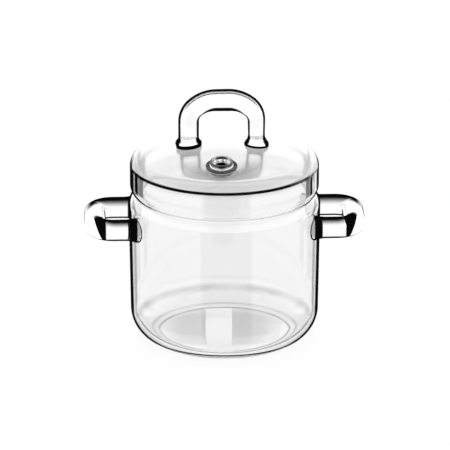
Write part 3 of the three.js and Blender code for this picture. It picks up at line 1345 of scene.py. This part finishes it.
@dataclass
class Lid:
    """The lid's turned shell and its fused arch, in millimetres.

    A foot is given by the distance from its sole and the radius of each of its sections, and a bend of the
    arch by its radius and its angle.
    """

    wall: float = 2.8
    hem: Point = (70.2, 121.19)
    swell: Point = (63.9, 127.19)
    swell_radius: float = 10.1
    swell_turn: float = 43.6
    skirt: float = 14.6
    shoulder: float = 10.8
    dome_height: float = 17.4
    steps: int = 224
    shell_crease: float = 50.0
    drill: Point = (-8.0, 5.0)
    drill_steps: int = 64
    span: float = 53.0
    aside: float = -1.5
    top: float = 11.0
    spring: float = 178.29
    low_bend: Point = (14.7, 50.0)
    high_bend: Point = (24.5, 40.0)
    left_rod: float = 8.1
    crown_rod: Triple = (8.6, 8.7, 7.9)
    right_rod: float = 6.8
    sides: int = 56
    arch_crease: float = 40.0
    fuse: float = 0.06
    foot_depth: float = 3.0
    left_foot: tuple[Point, ...] = (
        (0.0, 9.6), (3.0, 9.75), (3.9, 10.2), (4.9, 10.4), (6.0, 10.3), (7.0, 9.8), (7.9, 9.0), (8.7, 8.4),
        (9.8, 8.15), (11.0, 8.1),
    )
    right_foot: tuple[Point, ...] = (
        (11.5, 6.6), (10.2, 6.7), (9.0, 7.0), (7.8, 7.6), (6.6, 8.4), (5.4, 9.2), (4.6, 9.6), (3.8, 9.75),
        (3.0, 9.7), (0.0, 9.5),
    )

    @property
    def bend(self) -> Point:
        """Centre of the shoulder's bend."""
        return (self.swell[0] + self.swell_radius - self.shoulder, self.swell[1] + self.skirt)

    @property
    def dome(self) -> Triple:
        """Radius of the dome's sphere, height of its centre, and angle where it starts.

        Returns:
            The three of them, with the angle in degrees.
        """
        across, up = self.bend
        spread = across ** 2 + self.dome_height ** 2 - self.shoulder ** 2
        radius = spread / (2 * (self.dome_height - self.shoulder))
        centre = up + self.dome_height - radius
        return radius, centre, math.degrees(math.atan2(up - centre, across))

    def dome_at(self, distance: float) -> float:
        """Height of the dome's outside at a distance from the axis."""
        radius, centre, _ = self.dome
        return centre + math.sqrt(radius ** 2 - distance ** 2)

    def face(self, depth: float) -> list[Point]:
        """One face of the lid, from the hem to the crown.

        Args:
            depth: How far the face lies in from the outside.

        Returns:
            The profile points.
        """
        radius, centre, start = self.dome
        low = arc(self.swell, self.swell_radius - depth, -self.swell_turn, 0, steps=12)
        bend = arc(self.bend, self.shoulder - depth, 0, start, steps=24)
        crown = arc((0, centre), radius - depth, start, 90, steps=24)
        return [*low, *along(low[-1], bend[0], steps=4), *bend, *crown[1:]]

    def shell(self, place: Vector, turn: Triple, bore: float) -> bpy.types.Object:
        """The turned shell with the vent's hole.

        Args:
            place: Where the vent's axis meets the dome, in metres.
            turn: Euler angles of the vent's axis.
            bore: Radius of the hole.

        Returns:
            The shell.
        """
        hem = arc(self.hem, self.wall / 2, 180 - self.swell_turn, 360 - self.swell_turn, steps=14)
        profile = [*reversed(self.face(self.wall)), *hem[1:-1], *self.face(0)]
        shell = Workbench.turned("lid_shell_glass", profile, self.steps)
        low, high = self.drill
        pin = [(0.0, low), (bore, low), (bore, high), (0.0, high)]
        drill = Workbench.turned("drill", pin, self.drill_steps)
        Workbench.laid(drill, place, turn)
        return Workbench.smooth(Workbench.trimmed(shell, drill), self.shell_crease)

    def envelope(self) -> bpy.types.Object:
        """A closed body a little outside the lid, for trimming the arch's feet."""
        face = self.face(-self.fuse)
        return Workbench.turned("lid_envelope", [(0.0, face[0][1]), *face], self.steps)

    def arch(self) -> bpy.types.Object:
        """The arched handle: two upright legs, rounded corners and a short level top.

        Returns:
            The arch, trimmed to the dome.
        """
        leg = self.span / 2
        sole = self.dome_at(leg) - self.foot_depth
        length, ankle = self.right_foot[0]
        before, middle, after = self.crown_rod
        path = RodPath(Axis.Y, Vector((self.aside - leg, 0, sole)), 0.0, self.left_foot[0][1])
        path.foot(list(self.left_foot[1:]))
        path.straight(self.spring - path.centre.z, 4, self.left_rod)
        path.bend(*self.low_bend, 16, self.left_rod)
        path.bend(*self.high_bend, 14, before)
        path.straight(self.top, 4, middle)
        path.bend(*self.high_bend, 14, after)
        path.bend(*self.low_bend, 16, self.right_rod)
        path.straight(path.centre.z - sole - length, 4, ankle)
        path.foot([(length - distance, radius) for distance, radius in self.right_foot[1:]])
        rod = Workbench.swept("lid_arch", path, self.sides)
        return Workbench.smooth(Workbench.trimmed(rod, self.envelope()), self.arch_crease)

    @property
    def arch_bend(self) -> Point:
        """How far the arch goes across and up from a leg to its level top.

        Returns:
            Both lengths.
        """
        low, degrees = self.low_bend
        high = self.high_bend[0]
        cosine, sine = math.cos(math.radians(degrees)), math.sin(math.radians(degrees))
        return (low * (1 - cosine) + high * cosine, low * sine + high * (1 - sine))

    def arch_glass(self) -> ArchGlass:
        """The arch's finish, with the places of its bends and of the dome."""
        return ArchGlass("arch_glass", middle=self.aside, rise=self.spring, half=(self.top / 2, 0.0),
                         bend=self.arch_bend, dome_top=self.dome_at(0.0), dome_radius=self.dome[0])

    def build(self, vent: "Vent") -> None:
        """Models the shell and the arch, and dresses them in glass.

        Args:
            vent: Vent that the shell has a hole for.
        """
        shell = self.shell(vent.place(self), vent.turn(self), vent.ring_bore)
        hand_over(shell, LidGlass("lid_glass").build(), Body.LID, Slot.GLASS, "lid_shell")
        hand_over(self.arch(), self.arch_glass().build(), Body.LID, Slot.GLASS, "lid_handle")


@dataclass
class Vent:
    """The riveted steel vent: eyelet, two gaskets and a washer on one leaning axis, in millimetres.

    Heights are above the dome. A gasket or washer is given by its outside radius, its lower and upper face
    and the radius of its edges.
    """

    aside: float = -4.2
    forward: float = 48.0
    steps: int = 96
    crease: float = 50.0
    bore: float = 3.9
    barrel: float = 4.9
    roll: float = 0.45
    roll_inner: float = 4.6
    roll_outer: float = 5.75
    roll_height: float = -5.65
    flange: float = 12.4
    flange_low: float = 1.3
    flange_high: float = 3.1
    flange_round: float = 0.8
    fillet: float = 0.5
    collar: float = 8.7
    collar_high: float = 6.7
    lip: float = 0.35
    cup: float = 7.5
    cup_round: float = 1.4
    ring_bore: float = 5.3
    top_gasket: Quad = (11.5, 0.3, 1.2, 0.3)
    low_gasket: Quad = (9.0, -4.0, -3.1, 0.3)
    washer: Quad = (9.0, -5.1, -4.1, 0.2)

    def place(self, lid: Lid) -> Vector:
        """Where the vent's axis meets the dome, in metres."""
        return Vector((self.aside, -self.forward, lid.dome_at(math.hypot(self.aside, self.forward)))) * MM

    def turn(self, lid: Lid) -> Triple:
        """Euler angles that lean +Z to the dome's normal at the vent."""
        normal = (self.place(lid) / MM - Vector((0, 0, lid.dome[1]))).normalized()
        return tuple(Vector((0, 0, 1)).rotation_difference(normal).to_euler())

    def eyelet(self) -> list[Point]:
        """The eyelet with its softened edges: rolled end, barrel, flange, collar, cup and bore.

        Returns:
            The closed profile.
        """
        lip_height = self.collar_high - self.lip
        shoulder = (self.flange - self.flange_round, self.flange_high - self.flange_round)
        rolled = [
            *arc((self.roll_inner, self.roll_height), self.roll, 180, 270, 4),
            *arc((self.roll_outer, self.roll_height), self.roll, -90, 90, 8),
            (self.barrel, self.roll_height + self.roll),
            (self.barrel, self.flange_low),
        ]
        flange = [
            *arc((self.flange - self.roll, self.flange_low + self.roll), self.roll, -90, 0, 5),
            *arc(shoulder, self.flange_round, 0, 90, 7),
        ]
        collar = [
            *arc((self.collar + self.fillet, self.flange_high + self.fillet), self.fillet, 270, 180, 5),
            *arc((self.collar - self.lip, lip_height), self.lip, 0, 90, 5),
            *arc((self.cup + self.lip, lip_height), self.lip, 90, 180, 5),
        ]
        bore = [
            *arc((self.cup - self.cup_round, self.flange_high + self.cup_round), self.cup_round, 0, -90, 8),
            *arc((self.bore + self.fillet, self.flange_high - self.fillet), self.fillet, 90, 180, 5),
            (self.bore, 0.0),
            (self.bore, self.roll_height),
            (self.roll_inner - self.roll, self.roll_height),
        ]
        return [*rolled, *flange, *collar, *bore]

    def ring(self, outer: float, low: float, high: float, edge: float) -> list[Point]:
        """A flat ring's profile with rounded edges.

        Args:
            outer: Outside radius.
            low: Lower face.
            high: Upper face.
            edge: Radius of the rounded edges.

        Returns:
            The closed profile.
        """
        inner = self.ring_bore
        return [
            *arc((inner + edge, low + edge), edge, 180, 270, 4),
            *arc((outer - edge, low + edge), edge, 270, 360, 5),
            *arc((outer - edge, high - edge), edge, 0, 90, 5),
            *arc((inner + edge, high - edge), edge, 90, 180, 4),
            (inner, low + edge),
        ]

    def build(self, lid: Lid) -> None:
        """Models and dresses the vent's four pieces.

        Args:
            lid: Lid that it is riveted to.
        """
        place, turn = self.place(lid), self.turn(lid)
        steel = SteelFinish("turned_steel", place, turn).build()
        silicone = SiliconeFinish("clear_silicone").build()
        pieces = [
            ("eyelet", self.eyelet(), steel, Slot.STEEL, "vent_eyelet"),
            ("gasket_top", self.ring(*self.top_gasket), silicone, Slot.SILICONE, "vent_gasket_top"),
            ("gasket_low", self.ring(*self.low_gasket), silicone, Slot.SILICONE, "vent_gasket_bottom"),
            ("washer", self.ring(*self.washer), steel, Slot.STEEL, "vent_washer"),
        ]
        for name, profile, material, slot, node in pieces:
            piece = Workbench.smooth(Workbench.turned(name, profile, self.steps), self.crease)
            Workbench.laid(piece, place, turn)
            hand_over(piece, material, Body.LID, slot, node)


# Studio

@dataclass
class Studio:
    """A plain pale floor, two dim cards, a soft white surround and the photograph's camera.

    Sizes of the camera and the floor are in metres, those of the floor's gap and the cards in millimetres.
    """

    azimuth: float = -2.4
    elevation: float = 19.7
    distance: float = 5.0
    target: Triple = (0.0, 0.0, 0.0918)
    lens: float = 509.6
    sensor: float = 36.0
    shift: float = 0.0013
    view_end: float = 50.0
    floor_radius: float = 14.0
    floor_sides: int = 96
    floor_height: float = -0.0002
    floor_color: Quad = (0.09, 0.09, 0.09, 1)
    floor_glow: float = 0.93
    gap: float = 0.93
    gap_front: float = 72.0
    gap_start: float = 2.0
    gap_half: float = 20.3
    gap_spread: float = 0.611
    gap_soft: float = 4.0
    card_gap: float = 11.0
    card_aside: float = 1.0
    card_size: Point = (42.0, 50.0)
    card_behind: float = 86.0
    card_foot: float = 10.0
    card_dim: Point = (20.0, 30.0)
    card_light: float = 0.02
    card_top_light: float = 0.5
    overhead_mirrored: Point = (0.45, 1.0)
    overhead_through: Point = (0.45, 0.7)
    overhead_dark: float = 0.05
    softbox: float = 1.75
    zenith: float = 0.8
    mirror_layers: float = 4.5

    def camera(self) -> None:
        """Puts a long lens where the photograph was taken from."""
        az, el = math.radians(self.azimuth), math.radians(self.elevation)
        away = Vector((math.sin(az) * math.cos(el), -math.cos(az) * math.cos(el), math.sin(el)))
        data = bpy.data.cameras.new("camera")
        data.sensor_width = self.sensor
        data.lens = self.lens
        data.shift_x = self.shift
        data.clip_end = self.view_end
        eye = bpy.data.objects.new("camera", data)
        eye.location = Vector(self.target) + away * self.distance
        eye.rotation_euler = (-away).to_track_quat("-Z", "Y").to_euler()
        bpy.context.scene.collection.objects.link(eye)
        bpy.context.scene.camera = eye

    def floor(self) -> None:
        """Lays a wide pale floor that keeps a faint shadow, with an unlit gap in front for reflections."""
        Workbench.clear()
        bpy.ops.mesh.primitive_circle_add(
            vertices=self.floor_sides, radius=self.floor_radius, fill_type="NGON",
            location=(0, 0, self.floor_height),
        )
        ground = bpy.context.object
        ground.name = "floor"
        Workbench.clear()
        material, graph = Graph.material("pale_floor")
        x, y, _ = graph.spot()
        ahead = y * -1.0 - self.gap_front * MM
        width = ahead * self.gap_spread + self.gap_half * MM
        gap = (abs(x) - width).over(-self.gap_soft, self.gap_soft, 1.0, 0.0) * ahead.over(0.0, self.gap_start)
        light = self.floor_glow - gap * graph.mirrored() * self.gap
        matt = graph.value("ShaderNodeBsdfDiffuse", 0, {"Color": self.floor_color})
        glow = graph.value("ShaderNodeEmission", 0, {"Color": WHITE, "Strength": light})
        both = graph.value("ShaderNodeAddShader", 0, {0: matt, 1: glow})
        graph.node("ShaderNodeOutputMaterial", {"Surface": both})
        ground.data.materials.append(material)

    def card_finish(self) -> bpy.types.Material:
        """Makes the cards' material.

        Returns:
            A dim glow for reflections, which is clear for other light.
        """
        material, graph = Graph.material("dim_card")
        width, height = self.card_size
        x, _, z = graph.spot()
        across = abs(x + self.card_aside * MM)
        lit = across.over(self.card_gap + self.card_dim[0], self.card_gap + width)
        high = z.over(self.card_dim[1], self.card_foot + height, 0.0, self.card_top_light)
        light = graph.maths("MINIMUM", lit + high + self.card_light, 1.0)
        clear = graph.value("ShaderNodeBsdfTransparent", 0, {"Color": WHITE})
        dim = graph.value("ShaderNodeEmission", 0, {"Color": WHITE, "Strength": light})
        shown = graph.value("ShaderNodeMixShader", 0, {0: graph.mirrored(), 1: clear, 2: dim})
        graph.node("ShaderNodeOutputMaterial", {"Surface": shown})
        return material

    def cards(self) -> None:
        """Stands two dim cards close behind the pot, which only reflections show."""
        material = self.card_finish()
        width, height = self.card_size
        for side, name in ((-1, "left_card"), (1, "right_card")):
            Workbench.clear()
            bpy.ops.mesh.primitive_plane_add(size=1.0)
            card = bpy.context.object
            card.name = name
            card.scale = (width * MM, height * MM, 1.0)
            across = side * (self.card_gap + width / 2) - self.card_aside
            middle = Vector((across, self.card_behind, self.card_foot + height / 2))
            Workbench.laid(card, middle * MM, (math.pi / 2, 0, 0))
            card.data.materials.append(material)

    def surround(self) -> None:
        """Makes the world: white all round, and darker overhead for light that glass and metal send on."""
        world = bpy.data.worlds.new("studio")
        bpy.context.scene.world = world
        world.use_nodes = True
        graph = Graph(world.node_tree)
        up = graph.split(graph.value("ShaderNodeTexCoord", "Generated"))[2]
        mirror = up.ramp(*self.overhead_mirrored, self.softbox, self.zenith)
        behind = up.ramp(*self.overhead_through, 1.0, self.overhead_dark)
        through = graph.mix(graph.ray("Is Transmission Ray"), 1.0, behind)
        seen = graph.mix(graph.mirrored(self.mirror_layers), through, mirror)
        plain = graph.ray("Is Camera Ray") | graph.ray("Is Diffuse Ray")
        light = graph.value("ShaderNodeBackground", 0, {"Color": WHITE, "Strength": seen | plain})
        graph.node("ShaderNodeOutputWorld", {"Surface": light})

    def build(self) -> None:
        """Sets up the camera, the floor, the cards and the surround."""
        self.camera()
        self.floor()
        self.cards()
        self.surround()
        bpy.context.scene.view_settings.view_transform = "Standard"


def main() -> None:
    """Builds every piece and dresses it."""
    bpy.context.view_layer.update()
    Studio().build()
    lid, vent = Lid(), Vent()
    Pot().build()
    lid.build(vent)
    vent.build(lid)


if __name__ == "__main__":
    main()
